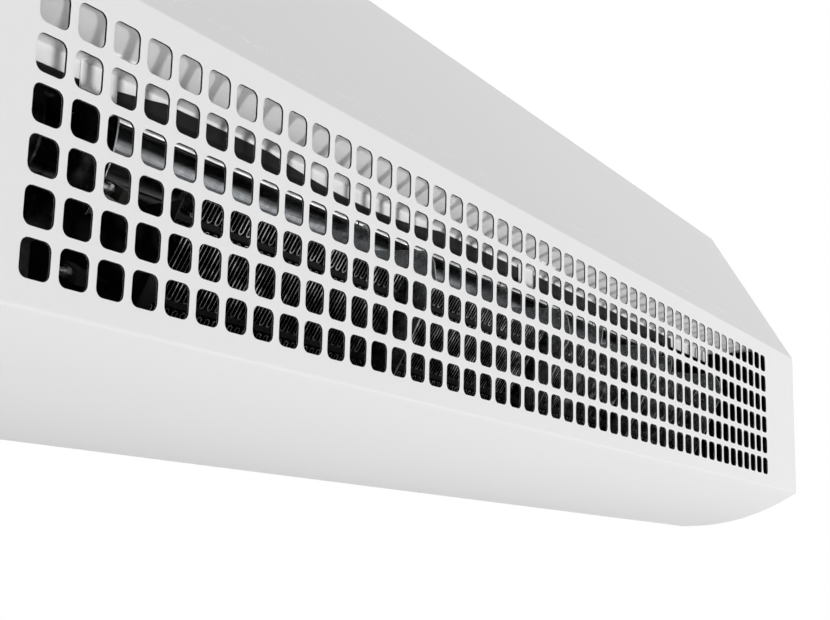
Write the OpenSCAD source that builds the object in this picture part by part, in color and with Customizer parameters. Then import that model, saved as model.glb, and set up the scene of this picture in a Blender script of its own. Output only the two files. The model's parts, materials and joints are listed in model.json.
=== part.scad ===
// Heated air curtain that hangs over a doorway.
// A folded sheet casing with a perforated front holds a row of cross-flow wheels in galvanised scrolls,
// heater bars with folded fin strips in front of them, and an outlet with two direction vanes underneath.
// Row frame: X along the casing, +Y towards the wall, +Z up, origin on the wall at the middle of the
// four wall screws. Cross-sections are drawn as [d, h]: d behind the front face, h above the underside.

/* [Grille] */
// Spacing of the square holes, both ways
hole_pitch = 25; // [23:0.5:27]
// Width of one square hole
hole_w = 19.2; // [12:0.2:21]
// Corner radius of a hole
hole_corner = 4.5; // [1:0.5:5.5]
// Holes along the front
hole_cols = 48; // [44:1:56]
// Rows of holes
hole_rows = 6; // [6:1:7]
// Middle of the first hole column to the end of the casing
grille_end_margin = 135; // [125:5:160]
// Middle of the bottom hole row to the bend under it
grille_low_margin = 23.5; // [16:0.5:30]
// Middle of the top hole row to the bend over it
grille_top_margin = 26; // [16:0.5:30]

/* [Casing] */
// Thickness of the painted sheet
sheet_t = 1.2; // [1:0.1:1.5]
// Outer radius of a fold
fold_r = 3; // [2:0.5:5]
// How far the belly drops below the front's lower bend
belly_drop = 43; // [35:1:50]
// Step up of the underside behind the cover
recess = 14; // [12:0.5:20]
// Depth of the sloping hood
slope_run = 106; // [90:1:130]
// Height of the sloping hood
slope_rise = 174; // [150:1:200]
// Length of the front cover's flange on the slope, up to the seam
seam_up = 20.5; // [14:0.5:30]
// Gap at a seam between two sheets
seam_gap = 0.6; // [0.3:0.1:1.2]
// Width of the end panels' folded rims
rim_w = 15; // [12:1:20]
// Height of the shelf's rear flange
shelf_flange = 12; // [10:1:14]

/* [Fans] */
// Outer radius of the cross-flow wheels
wheel_r = 57; // [52:1:59]
// Blades on a wheel
blade_count = 26; // [18:1:36]
// Scrolls' rolled lip behind the front face
lip_d = 97; // [94:1:102]
// Wheel's rim to the casing's back
rear_room = 36; // [34:1:50]
// Wheel axis below the front's upper bend
axis_drop = 26; // [22:0.5:30]
// Left end of the casing to the first bay
left_room = 267.5; // [262:0.5:285]
// Clear length of each bay, from the left
bay_lengths = [280, 242, 216, 212];
// Thickness of the galvanised side plates
plate_t = 1.5; // [1:0.1:2]
// Thickness of the scroll sheet
scroll_t = 1; // [0.8:0.1:1.2]
// Gap between a wheel and the start of its scroll
scroll_gap = 6; // [5:0.5:7]
// Radius of the wheel shafts
shaft_r = 6; // [5:0.5:7]
// Radius of a motor
motor_r = 42; // [34:1:44]
// Length of a motor
motor_len = 62; // [50:1:66]

/* [Heater] */
// Thickness of a heater bar, up the stack of bars and fin strips
bar_t = 5; // [4:0.5:8]
// Width of a heater bar, front to back
bar_w = 13; // [10:0.5:16]
// Height of the middle fin strip
fin_h = 48; // [30:1:49]
// Height of the two outer fin strips
outer_fin_h = 14; // [8:1:16]
// Width of the fin strips, front to back
fin_w = 18; // [12:1:20]
// Spacing of the fins' folds
fin_pitch = 7.75; // [6:0.25:12]
// Thickness of the fin sheet
fin_t = 0.5; // [0.3:0.1:0.8]

/* [Outlet] */
// Outlet frame to the casing's back
outlet_back = 20; // [18:1:30]
// Clear width of the outlet
outlet_w = 76; // [70:1:76]
// Height of the outlet frame
frame_h = 24; // [24:1:26]
// Wall of the outlet frame
frame_t = 2; // [1.5:0.1:2.2]
// Chord of a direction vane
vane_chord = 20; // [18:1:20]
// Thickness of a direction vane
vane_t = 3.4; // [3:0.1:3.6]
// Distance between the two vanes' pivots
vane_gap = 26; // [24:1:28]

/* [Mounting] */
// Distance between the wall brackets
bracket_spacing = 1000; // [800:10:1040]
// Height between the two wall screws of a bracket
bracket_screw_gap = 100; // [80:5:110]
// Radius of a wall screw hole
wall_hole_r = 4.5; // [3.5:0.25:5]
// Thickness of the bracket steel
bracket_t = 3; // [2.5:0.5:4]
// Gap that the brackets keep between wall and casing
wall_gap = 15; // [12:1:20]
// Distance along the casing between the ceiling inserts
hang_x = 1100; // [900:10:1200]
// Distance across the casing between the ceiling inserts
hang_y = 90; // [60:5:100]
// Thread bore radius of a ceiling insert
insert_bore_r = 3.4; // [2.5:0.1:4.2]
// Bore radius of the cable gland
gland_bore_r = 8.5; // [6:0.5:9]

/* [Hidden] */
$fn = 48;

// Paint and metal colours
paint = [0.87, 0.87, 0.87];
galvanised = [0.62, 0.63, 0.64];
black = [0.08, 0.08, 0.08];
steel = [0.5, 0.5, 0.51];

// Clearances
seat_gap = 0.2;      // between a seated edge and its seat
lap = sheet_t + 0.3; // from an outer skin to the sheet behind it
run_fit = 0.06;      // radial gap round a turning shaft
screw_fit = 0.25;    // radial gap round a screw

// Along the casing
grille_w = (hole_cols - 1) * hole_pitch;
grille_h = (hole_rows - 1) * hole_pitch;
casing_l = grille_w + 2 * grille_end_margin;
x_left = -casing_l / 2;
x_right = casing_l / 2;

// Heights, from the underside up
front_low = belly_drop;
row_low = front_low + grille_low_margin;
front_top = row_low + grille_h + grille_top_margin;
casing_h = front_top + slope_rise;
axis_h = front_top - axis_drop;

// Depths, from the front face back
lip_out = 12;        // from a scroll's start to its rolled lip
axis_d = lip_d + lip_out + scroll_gap + wheel_r;
casing_d = axis_d + wheel_r + rear_room;
outlet_rear = casing_d - outlet_back;
outlet_front = outlet_rear - outlet_w - 2 * frame_t;
floor_front = 8;     // floor in front of the outlet frame
cover_tail = 11;     // level strip of the cover behind the belly
cover_end = outlet_front - floor_front;
belly_reach = cover_end - cover_tail;

// Casing outline
belly_r = (pow(belly_reach, 2) + pow(belly_drop, 2)) / (2 * belly_drop);
belly_angle = asin(belly_reach / belly_r);
belly_steps = 18;
slope_angle = atan2(slope_rise, slope_run);
slope_dir = [cos(slope_angle), sin(slope_angle)];
belly = [for (i = [0:belly_steps])
    [belly_reach, belly_r] + belly_r * [cos(-90 - belly_angle * (1 - i / belly_steps)),
                                        sin(-90 - belly_angle * (1 - i / belly_steps))]];
cover_foot = [[cover_end, 0], [cover_end, recess]];
floor_rear = [casing_d, recess];
outline = concat([[0, front_top]], [for (i = [0:belly_steps - 1]) belly[i]],
    round_line(concat([belly[belly_steps]], cover_foot, [floor_rear]), fold_r),
    [[casing_d, casing_h], [slope_run, casing_h]]);

// Place of the section in the row frame: origin on the wall, between the wall screws
mount_h = 240;
y_front = -casing_d - wall_gap;

// Intake shelf
shelf_reach = lip_d - 8;
shelf_d0 = lap + 0.3;
shelf_h = front_top + (shelf_d0 - lap / sin(slope_angle)) * tan(slope_angle);

// Bays and plates
bay_count = len(bay_lengths);
function bay_sum(n) = n == 0 ? 0 : bay_lengths[n - 1] + bay_sum(n - 1);
plate_x = [for (i = [0:bay_count]) x_left + left_room + bay_sum(i)];
fan_left = plate_x[0];
fan_right = plate_x[bay_count];
wheel_end_gap = 5;
disc_t = 1.5;
hub_r = 13;
hub_len = 14;
axle = [axis_d, axis_h];
plate_r = wheel_r + rear_room - 3;
bearing_r = 11;
bearing_w = 10;
bearing_flange_r = 14;

// Scroll: a spiral from its lip over the wheel to the back, then down to the outlet
scroll_start = 196;
scroll_end = -12;
scroll_growth = 15;
scroll_steps = 26;
function scroll_point(a) = axle + (wheel_r + scroll_gap
    + scroll_growth * (scroll_start - a) / (scroll_start - scroll_end)) * [cos(a), sin(a)];
lip_bead_r = 3;
lip_bead = [lip_d, axis_h + 3.5];

// Tongue under the wheel
tongue_nose = axle + (wheel_r + scroll_gap) * [cos(235), sin(235)];
tongue_fold_r = 4;

// Heater: two bars between three fin strips, stacked parallel to the plates' receding front edge.
// stack_at is the middle strip's lower front corner; the stack leans back by stack_lean from upright
stack_at = [77.5, row_low + 21.5];
stack_lean = 32;
bar_y = [-bar_t, fin_h];                        // foot of each bar, up the stack
fin_y = [-bar_t - outer_fin_h, 0, fin_h + bar_t];
fin_height = [outer_fin_h, fin_h, outer_fin_h];
fin_seat = 0.1;      // between a strip's folds and the bar
fin_margin = 6;      // free length at each side plate
fin_lead = 20;       // and more of it behind the heater's bracket
bar_end = 22;        // bars reach past the outer plates
bar_end_w = 8;
stud_r = 2;
stud_len = 12;

// Motors
motor_gap = 18;
motor_plate_t = 2;
post_r = 4;
post_reach = 36;
post_angles = [45, 135, 225, 315];

// Outlet frame and vanes
frame_low = recess - 1.5;    // the frame stands out under the floor
frame_top = frame_low + frame_h;
vane_h = frame_low + frame_h / 2;
frame_x0 = fan_left + 1;
frame_x1 = fan_right - 1;
vane_mid_d = (outlet_front + outlet_rear) / 2;
vane_d = [vane_mid_d - vane_gap / 2, vane_mid_d + vane_gap / 2];
pivot_r = 2;
crank_r = 1.5;
crank_up = 7;
cheek_t = 2;
link_t = 2;
link_half = 3;
vane_clear = 7;      // from the frame's end wall to a vane's cheek

// Electrics
tray_x = x_left + 25;
tray_w = 120;
tray_h0 = 70;
tray_rise = 225;
tray_depth = 30;
tray_t = 1.5;
tray_face = casing_d - sheet_t - tray_depth;
tray_mid = tray_x + tray_w / 2;
button_r = 2.5;
button_travel = 1.5;
cutout_h = tray_h0 + 204;
gland_d = casing_d - 53;

// Loom route in the plane behind the fans, [x, h], clipped at clip_x and where it comes down on the right
loom_r = 4;
loom_d = casing_d - sheet_t - 8;
loom_h = casing_h - 49.5;
loom_down_x = x_right - 156;
loom_end_h = loom_h - 62;
clip_x = [for (k = [0:3]) fan_left - 45 + 300 * k];
loom_route = concat([[tray_mid, tray_h0 + tray_rise - 9], [tray_mid, loom_h - 22],
    [tray_mid + 4, loom_h - 10], [tray_mid + 14, loom_h - 2]],
    [for (x = clip_x) [x, loom_h]], [[loom_down_x - 16, loom_h],
    [loom_down_x - 4, loom_h - 6], [loom_down_x, loom_h - 18], [loom_down_x, loom_end_h]]);
loom_sides = 8;

// Screws
screw_r = 2;
screw_head_r = 4;
screw_head_t = 2;

// ---- plane geometry ----

function unit(v) = v / norm(v);
function left_of(v) = [-v[1], v[0]];

// Point i of an open line moved d to the left of its direction, mitred at the corners
function shifted(p, i, d) =
    let (a = i > 0 ? left_of(unit(p[i] - p[i - 1])) : left_of(unit(p[1] - p[0])),
         b = i < len(p) - 1 ? left_of(unit(p[i + 1] - p[i])) : a)
    p[i] + d * (a + b) / (1 + a * b);
function shift_line(p, d) = [for (i = [0:len(p) - 1]) shifted(p, i, d)];

// The same for a closed loop
function shift_loop(p, d) = let (n = len(p)) [for (i = [0:n - 1])
    let (a = left_of(unit(p[i] - p[(i + n - 1) % n])), b = left_of(unit(p[(i + 1) % n] - p[i])))
    p[i] + d * (a + b) / (1 + a * b)];

// An open line with its sharp corners rounded to radius r
function round_corner(p, i, r, n) =
    let (a = unit(p[i - 1] - p[i]), b = unit(p[i + 1] - p[i]), open = acos(a * b))
    open > 165 ? [p[i]] :
    let (mid = p[i] + unit(a + b) * r / sin(open / 2), start = p[i] + a * r / tan(open / 2) - mid,
         turn = (180 - open) * sign(cross(-a, b)))
    [for (k = [0:n]) let (w = turn * k / n)
        mid + [start[0] * cos(w) - start[1] * sin(w), start[0] * sin(w) + start[1] * cos(w)]];
function round_line(p, r, n = 5) = [for (i = [0:len(p) - 1])
    each (i == 0 || i == len(p) - 1 ? [p[i]] : round_corner(p, i, r, n))];
function backwards(p) = [for (i = [len(p) - 1:-1:0]) p[i]];

// A sheet whose outer face follows line p, with its thickness to the left
module sheet(p, t, r = 0) {
    outer = r > 0 ? round_line(p, r) : p;
    polygon(concat(outer, backwards(shift_line(outer, t))));
}

// A section drawn in [d, h], extruded along X from x0
module along(x0, length) {
    translate([x0, y_front, -mount_h]) rotate([90, 0, 90]) linear_extrude(length) children();
}

// A round bar or bore along X, centred on c = [d, h]
module bar(x0, length, c, r) {
    along(x0, length) translate(c) circle(r);
}

// Moves a shape's origin to x, d behind the front and h above the underside
module at(x, d, h) {
    translate([x, y_front + d, h - mount_h]) children();
}

// A box from its low corner [x, d, h]
module box(corner, size) {
    at(corner[0], corner[1], corner[2]) cube(size);
}

// A screw pointing along -Z, its head resting on the plane z = 0
module screw(length) {
    cylinder(h = screw_head_t, r = screw_head_r);
    translate([0, 0, -length]) cylinder(h = length + screw_head_t / 2, r = screw_r);
}

// ---- casing ----

// Screws: the cover's flange, the hood's top and the back panel's sides
cover_screw_x = [for (s = [-1, -1 / 3, 1 / 3, 1]) s * (casing_l / 2 - 90)];
side_screw_x = [x_left + rim_w / 2 + 1, x_right - rim_w / 2 - 1];
top_screw_d = [slope_run + 30, casing_d - 30];
back_screw_h = [120, casing_h - 70];

module on_cover_screws() {
    for (x = cover_screw_x) at(x, cover_end, recess / 2) rotate([-90, 0, 0]) children();
}

module on_top_screws() {
    for (x = side_screw_x, d = top_screw_d) at(x, d, casing_h) children();
}

module on_back_screws() {
    for (x = side_screw_x, h = back_screw_h) at(x, casing_d, h) rotate([-90, 0, 0]) children();
}

module screw_hole() {
    translate([0, 0, -6]) cylinder(h = 12, r = screw_r + screw_fit);
}

seam_point = [0, front_top] + seam_up * slope_dir;
cover_line = concat([seam_point, [0, front_top]], belly, [cover_foot[0], cover_foot[1] - [0, fold_r]]);
skin_x0 = x_left + sheet_t + seat_gap;
skin_l = casing_l - 2 * (sheet_t + seat_gap);

// Outline of one grille hole, in X and height
function hole_points(c) = [for (q = [0:3], k = [0:3])
    let (s = [q == 0 || q == 3 ? 1 : -1, q < 2 ? 1 : -1], a = 90 * q + 30 * k)
    c + (hole_w / 2 - hole_corner) * s + hole_corner * [cos(a), sin(a)]];

module grille_holes() {
    translate([0, y_front + sheet_t + 1, -mount_h]) rotate([90, 0, 0]) linear_extrude(sheet_t + 2)
        for (i = [0:hole_cols - 1], j = [0:hole_rows - 1])
            polygon(hole_points([i * hole_pitch - grille_w / 2, row_low + j * hole_pitch]));
}

module front_cover() color(paint) difference() {
    along(skin_x0, skin_l) sheet(cover_line, sheet_t, fold_r);
    grille_holes();
    on_cover_screws() screw_hole();
}

// The hood starts above the seam and ends in a flange inside the back panel
hood_flange = 16;
hood_line = [[casing_d - lap, casing_h - hood_flange], [casing_d - lap, casing_h], [slope_run, casing_h],
    seam_point + seam_gap * slope_dir];

module rim_notches(d, h, size) {
    for (x = [x_left, x_right - rim_w - 4]) box([x, d, h], [rim_w + 4, size[0], size[1]]);
}

module on_inserts() {
    for (x = [-1, 1], s = [-1, 1])
        at(x * hang_x / 2, (slope_run + casing_d) / 2 + s * hang_y / 2, casing_h) children();
}

insert_r = 5.5;

module hood_panel() color(paint) difference() {
    along(skin_x0, skin_l) sheet(hood_line, sheet_t, fold_r);
    rim_notches(casing_d - 2 * lap - 1, casing_h - hood_flange - 1, [2 * lap, hood_flange + 1 - sheet_t]);
    on_top_screws() screw_hole();
    on_inserts() translate([0, 0, -6]) cylinder(h = 12, r = insert_r + 0.1);
    at(tray_mid, gland_d, casing_h - 6) cylinder(h = 12, r = gland_bore_r + 4.2);
}

// The back panel starts with a flange inside the cover's, and its floor carries the outlet frame
back_line = [cover_foot[0] + [-lap, fold_r], cover_foot[1] - [lap, 0], floor_rear,
    [casing_d, casing_h - 0.3]];
hook_w = 40;
hook_h = mount_h + 20;
hook_rise = 14;
bracket_x = [-bracket_spacing / 2, bracket_spacing / 2];

module back_panel() color(paint) difference() {
    along(skin_x0, skin_l) sheet(back_line, sheet_t, fold_r);
    rim_notches(cover_end - 6, 0, [6 + fold_r, recess + lap]);
    box([frame_x0 - 0.3, outlet_front - 0.3, recess - 2],
        [frame_x1 - frame_x0 + 0.6, outlet_rear - outlet_front + 0.6, 4 + sheet_t]);
    on_cover_screws() screw_hole();
    on_back_screws() screw_hole();
    for (x = bracket_x)
        box([x - hook_w / 2 - 2, casing_d - 6, hook_h - hook_rise - bracket_t - 3],
            [hook_w + 4, 12, hook_rise + bracket_t + 3]);
}

// A flat end plate with a folded rim inside the skins
module end_panel(x_plate, x_rim) difference() {
    union() {
        along(x_plate, sheet_t) polygon(outline);
        along(x_rim, rim_w) difference() {
            polygon(shift_loop(outline, lap));
            polygon(shift_loop(outline, lap + sheet_t));
        }
    }
    on_top_screws() screw_hole();
    on_back_screws() screw_hole();
}

// Black foam on the inner face of the right end panel
lining_t = 4;
lining_outline = concat([[0, front_top]], belly, [[belly_reach, recess], floor_rear, [casing_d, casing_h],
    [slope_run, casing_h]]);

module end_lining() color(black)
    along(x_right - sheet_t - seat_gap - lining_t, lining_t)
        polygon(shift_loop(lining_outline, lap + sheet_t + 1));

module end_panel_left() color(paint) end_panel(x_left, x_left + sheet_t);
module end_panel_right() color(paint) end_panel(x_right - sheet_t, x_right - sheet_t - rim_w);

// The shelf closes the intake above the holes and backs the seam
shelf_line = [[shelf_d0, shelf_h] + (seam_up + 14) * slope_dir, [shelf_d0, shelf_h],
    [shelf_reach, shelf_h], [shelf_reach, shelf_h - shelf_flange]];
shelf_x0 = x_left + rim_w + 6;
shelf_x1 = x_right - 72;

module intake_shelf() color(paint)
    along(shelf_x0, shelf_x1 - shelf_x0) sheet(shelf_line, sheet_t);

// Flexible strip from the shelf's flange down to the scroll lips; its top sags in two places
strip_t = 1.5;
strip_d = shelf_reach - strip_t - seat_gap;
strip_line = [[strip_d, shelf_h - 0.4], [strip_d, shelf_h - shelf_flange - 1],
    lip_bead + (lip_bead_r + seat_gap + strip_t) * [cos(150), sin(150)]];
sags = [[fan_left + 275, 120, 8], [fan_left - 105, 150, 12]];

// The region above an arc that dips by s[2] over half-width s[1] at x = s[0]
module sag(s) {
    r = (s[1] * s[1] + s[2] * s[2]) / (2 * s[2]);
    at(s[0], strip_d - 3, shelf_h - 0.4 - s[2] + r) rotate([-90, 0, 0])
        cylinder(h = strip_t + 6, r = r, $fn = 96);
}

module seal_strip() color(black) difference() {
    along(fan_left - 180, fan_right - fan_left + 190) sheet(strip_line, strip_t);
    for (s = sags) sag(s);
}

// Clips screwed under the shelf beside the plates
bracket_clip_x = [fan_left - 30, plate_x[2] + 22];

module shelf_brackets() color(paint)
    for (x = bracket_clip_x) along(x, 30)
        sheet([[strip_d - 25.5, shelf_h - 1.5], [strip_d - 2.2, shelf_h - 1.5],
               [strip_d - 2.2, shelf_h - shelf_flange - 6]], 1.5);

// ---- side plates and scrolls ----

// Front edge of the nose that carries the heater bars, from its top down
plate_foot_h = frame_top + 1;
nose = [[30, row_low + 99], [25, row_low + 90], [23, row_low + 76], [24.5, row_low + 69],
    [28, row_low + 64], [48, row_low + 24], [57, row_low + 7.5], [79.5, plate_foot_h]];
nose_top = [lip_bead - [5, 22.5], [36, row_low + 100]];
duct_front = outlet_front - 35;
duct_turn_h = 50;    // how far the duct's front edge starts below the axis
tail_h = [60, 60];   // the tail's low end above the underside, and its top above the axis

// Housing side: a disc round the wheel, the duct down to the outlet and a tail to the back panel,
// cut away in front for the strip and the shelf's flange
module housing_side() difference() {
    union() {
        translate(axle) circle(plate_r, $fn = 96);
        polygon([[duct_front, axis_h - duct_turn_h], [duct_front, plate_foot_h],
            [outlet_rear + 6, plate_foot_h], [casing_d - sheet_t, tail_h[0]],
            [casing_d - sheet_t, axis_h + tail_h[1]], [axis_d, axis_h + tail_h[1]]]);
    }
    translate([0, lip_bead[1] - lip_bead_r]) square([lip_d + 1, plate_r + 20]);
}

// Section coordinates of the heater stack: X front to back, Y up the stack
module on_stack() {
    translate(stack_at) rotate(stack_lean) children();
}

// Section of the two bars, larger by gap all round
module bar_section(gap = 0) {
    for (y = bar_y) on_stack() translate([(fin_w - bar_w) / 2 - gap, y - gap])
        square([bar_w + 2 * gap, bar_t + 2 * gap]);
}

module nose_side() {
    difference() {
        polygon(concat(nose, [[duct_front + 6, plate_foot_h], [duct_front + 6, axis_h - 20]], nose_top));
        bar_section(seat_gap);
    }
}

// Foot folded against the back panel
foot_w = 14;
foot_h = [90, 240];

module plate_foot(x) {
    along(x, foot_w) translate([casing_d - sheet_t - plate_t, foot_h[0]])
        square([plate_t, foot_h[1] - foot_h[0]]);
}

module fan_plate(i) color(galvanised) difference() {
    union() {
        along(plate_x[i] - plate_t / 2, plate_t) {
            housing_side();
            if (i > 0) nose_side();
        }
        plate_foot(plate_x[i] - (i == 0 ? foot_w : 0));
    }
    bar(plate_x[i] - 5, 10, axle, bearing_r + 0.05);
    if (i == 0 || i == bay_count) motor_post_holes(plate_x[i]);
}

module fan_plate_1() fan_plate(0);
module fan_plate_2() fan_plate(1);
module fan_plate_3() fan_plate(2);
module fan_plate_4() fan_plate(3);
module fan_plate_5() fan_plate(4);

// Carries the bars at the left of the first bay, lapped on that plate, with its front edge folded over
bracket_edge = [for (i = [5:7]) nose[i]];
bracket_flange = 11;

module heater_bracket() color(black) {
    along(fan_left - 1.5 * plate_t, plate_t) difference() {
        polygon(concat([[27, row_low + 66]], bracket_edge,
            [[duct_front + 16, plate_foot_h], [duct_front + 16, 120], [108, row_low + 66]]));
        bar_section(seat_gap);
    }
    along(fan_left - 1.5 * plate_t, bracket_flange) sheet(bracket_edge, plate_t);
}

// Rolled bead, hollow lip, then the spiral over the wheel and the straight run down to the outlet
lip_foot = lip_bead + [6, -23];
lip_hollow = 4;
lip_top = lip_bead + [0.6, 0.4 - lip_bead_r];
lip_line = [for (s = [0:0.2:1]) lip_top + s * (lip_foot - lip_top) + [4 * lip_hollow * s * (1 - s), 0]];
spiral = [for (k = [0:scroll_steps])
    scroll_point(scroll_start + (scroll_end - scroll_start) * k / scroll_steps)];
scroll_foot = [outlet_rear - frame_t + scroll_t / 2, frame_top + seat_gap];

module scroll_section() {
    sheet(concat(lip_line, spiral, [scroll_foot]), scroll_t);
    translate(lip_bead) difference() {
        circle(lip_bead_r);
        circle(lip_bead_r - scroll_t);
    }
}

module scroll(i) color(galvanised)
    along(plate_x[i] + plate_t / 2 + seat_gap, bay_lengths[i] - plate_t - 2 * seat_gap) scroll_section();

module scroll_1() scroll(0);
module scroll_2() scroll(1);
module scroll_3() scroll(2);
module scroll_4() scroll(3);

module tongue(i) color(galvanised)
    along(plate_x[i] + plate_t / 2 + seat_gap, bay_lengths[i] - plate_t - 2 * seat_gap)
        sheet([[outlet_front + frame_t / 2, frame_top + seat_gap], tongue_nose, tongue_nose + [-20, -24]],
            scroll_t, tongue_fold_r);

module tongue_1() tongue(0);
module tongue_2() tongue(1);
module tongue_3() tongue(2);
module tongue_4() tongue(3);

// ---- wheels, shafts, bearings, motors ----

blade_in = 0.79;     // inner radius of the blades as a share of the wheel's
blade_t = 1;
blade_sweep = 13;
blade_inset = 0.5;   // from a blade's outer edge to the rim of the discs
function blade_line(a) = [for (s = [0:0.25:1])
    let (r = wheel_r * (blade_in + (1 - blade_in) * s) - blade_inset, w = a + blade_sweep * s * s)
    axle + r * [cos(w), sin(w)]];

module blades() {
    for (k = [0:blade_count - 1])
        let (line = blade_line(360 * k / blade_count))
            polygon(concat(shift_line(line, -blade_t / 2), backwards(shift_line(line, blade_t / 2))));
}

// A wheel: two end discs with hubs, one middle disc and straight blades between them
module wheel(i) color(steel) {
    x0 = plate_x[i] + plate_t / 2 + wheel_end_gap + 3;
    x1 = plate_x[i + 1] - plate_t / 2 - wheel_end_gap - 3;
    difference() {
        union() {
            along(x0, x1 - x0) blades();
            bar(x0, disc_t, axle, wheel_r);
            bar(x1 - disc_t, disc_t, axle, wheel_r);
            bar(x0, hub_len, axle, hub_r);
            bar(x1 - hub_len, hub_len, axle, hub_r);
            along((x0 + x1 - disc_t) / 2, disc_t) translate(axle) difference() {
                circle(wheel_r);
                circle(wheel_r * blade_in - 2);
            }
        }
        bar(x0 - 1, hub_len + 2, axle, shaft_r + run_fit);
        bar(x1 - hub_len - 1, hub_len + 2, axle, shaft_r + run_fit);
    }
}

module wheel_1() wheel(0);
module wheel_2() wheel(1);
module wheel_3() wheel(2);
module wheel_4() wheel(3);

// Shaft ends reach the far side of the hubs
hub_reach = plate_t / 2 + wheel_end_gap + 3 + hub_len;
mid_plate = 2;

// Both links of one side: through its inner plate, and into the middle plate's shared bearing
module link_shafts_left() color(steel) {
    bar(plate_x[1] - hub_reach, 2 * hub_reach, axle, shaft_r);
    bar(plate_x[mid_plate] - hub_reach, hub_reach - 0.5, axle, shaft_r);
}

module link_shafts_right() color(steel) {
    bar(plate_x[3] - hub_reach, 2 * hub_reach, axle, shaft_r);
    bar(plate_x[mid_plate] + 0.5, hub_reach - 0.5, axle, shaft_r);
}

// From inside the motor through the end plate's bearing into the wheel's hub
motor_reach = plate_t / 2 + motor_gap + motor_plate_t;

module motor_shaft_left() color(steel)
    bar(fan_left - motor_reach - motor_len + 6, motor_reach + motor_len - 6 + hub_reach, axle, shaft_r);

module motor_shaft_right() color(steel)
    bar(fan_right - hub_reach, motor_reach + motor_len - 6 + hub_reach, axle, shaft_r);

module bearings() color("dimgray")
    for (i = [0:bay_count]) difference() {
        union() {
            bar(plate_x[i] - bearing_w / 2, bearing_w, axle, bearing_r);
            bar(plate_x[i] + plate_t / 2, 2, axle, bearing_flange_r);
        }
        bar(plate_x[i] - bearing_w, 2 * bearing_w, axle, shaft_r + run_fit);
    }

// side is -1 at the left and 1 at the right; x is the end plate
module motor_x(x, side, from, length) {
    translate([x + (side > 0 ? from : -from - length), y_front, -mount_h])
        rotate([90, 0, 90]) linear_extrude(length) translate(axle) children();
}

module motor(x, side) color(black) difference() {
    union() {
        motor_x(x, side, motor_reach, 3) circle(motor_r + 3);
        motor_x(x, side, motor_reach, motor_len) circle(motor_r);
        motor_x(x, side, motor_reach + motor_len - 1, 5) circle(motor_r * 0.55);
        motor_x(x, side, motor_reach + 12, motor_len - 24) for (a = [0:15:345])
            rotate(a) translate([motor_r - 1, -1]) square([3.5, 2]);
    }
    motor_x(x, side, motor_reach - 1, motor_len - 1) circle(shaft_r + 0.4);
    motor_x(x, side, motor_reach - 1, 5) on_posts() circle(screw_r + screw_fit);
}

module motor_left() motor(fan_left, -1);
module motor_right() motor(fan_right, 1);

module on_posts() {
    for (a = post_angles) rotate(a) translate([post_reach, 0]) children();
}

module motor_post_holes(x) {
    motor_x(x, 1, -5, 10) on_posts() circle(screw_r + screw_fit);
}

// A plate on four posts that stand on the fan's end plate
module motor_bracket(x, side) color(black) difference() {
    union() {
        motor_x(x, side, motor_reach - motor_plate_t, motor_plate_t) circle(motor_r + 6);
        motor_x(x, side, plate_t / 2, motor_gap + motor_plate_t / 2) on_posts() circle(post_r);
    }
    motor_x(x, side, 0, motor_reach + 1) circle(bearing_flange_r + 3);
    motor_x(x, side, 0, motor_reach + 1) on_posts() circle(screw_r + screw_fit);
}

module motor_bracket_left() motor_bracket(fan_left, -1);
module motor_bracket_right() motor_bracket(fan_right, 1);

// Casing screws, and long ones from the end plates through the motor posts into the motors
module screws() color(steel) {
    on_cover_screws() screw(5);
    on_top_screws() screw(5);
    on_back_screws() screw(5);
    for (e = [[fan_left, -1], [fan_right, 1]]) {
        motor_x(e[0], e[1], -plate_t / 2 - 1, motor_reach + plate_t / 2 + 4) on_posts() circle(screw_r);
        motor_x(e[0], e[1], -plate_t / 2 - 2.5, 2.5) on_posts() circle(3.4, $fn = 6);
    }
}

// ---- heater ----

bar_x0 = fan_left - bar_end;
bar_x1 = fan_right + bar_end;

module heater_bars() color(black) along(bar_x0, bar_x1 - bar_x0) bar_section();

// Middle line of a folded strip, [x, up the stack], from its first fold at x0
function fold_line(x0, y0, height, count) = let (half = fin_pitch / 2, r = half / 2)
    [for (k = [0:count - 1], up = [0, 1])
        let (x = x0 + (2 * k + up) * half, turn = up ? 1 : -1, mid = y0 + (up ? height - r : r))
        each [[x - r, mid], [x - 0.4 * r, mid + turn * 0.85 * r], [x + 0.4 * r, mid + turn * 0.85 * r],
              [x + r, mid]]];

// A strip in each bay, folded to and fro between its lower and its upper side
module fin_strip(i) {
    y0 = fin_y[i] + fin_seat + fin_t / 2;
    height = fin_height[i] - 2 * fin_seat - fin_t;
    for (b = [0:bay_count - 1]) {
        lead = b == 0 ? fin_lead : 0;
        count = floor((bay_lengths[b] - lead - plate_t - 2 * fin_margin) / fin_pitch);
        line = fold_line(plate_x[b] + (bay_lengths[b] + lead - (count - 1) * fin_pitch) / 2
            - fin_pitch / 4, y0, height, count);
        translate([0, y_front + stack_at[0], stack_at[1] - mount_h]) rotate([90 + stack_lean, 0, 0])
            translate([0, 0, -fin_w]) linear_extrude(fin_w)
                polygon(concat(shift_line(line, -fin_t / 2), backwards(shift_line(line, fin_t / 2))));
    }
}

module fins_lower() color("silver") fin_strip(0);
module fins_middle() color("silver") fin_strip(1);
module fins_upper() color("silver") fin_strip(2);

// Heat-proof caps that close the bars' ends
module bar_ends() color(black) difference() {
    for (x = [bar_x0 - bar_end_w / 2, bar_x1 - bar_end_w / 2]) along(x, bar_end_w) bar_section(1.5);
    along(bar_x0, bar_x1 - bar_x0) bar_section(0.05);
}

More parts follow.
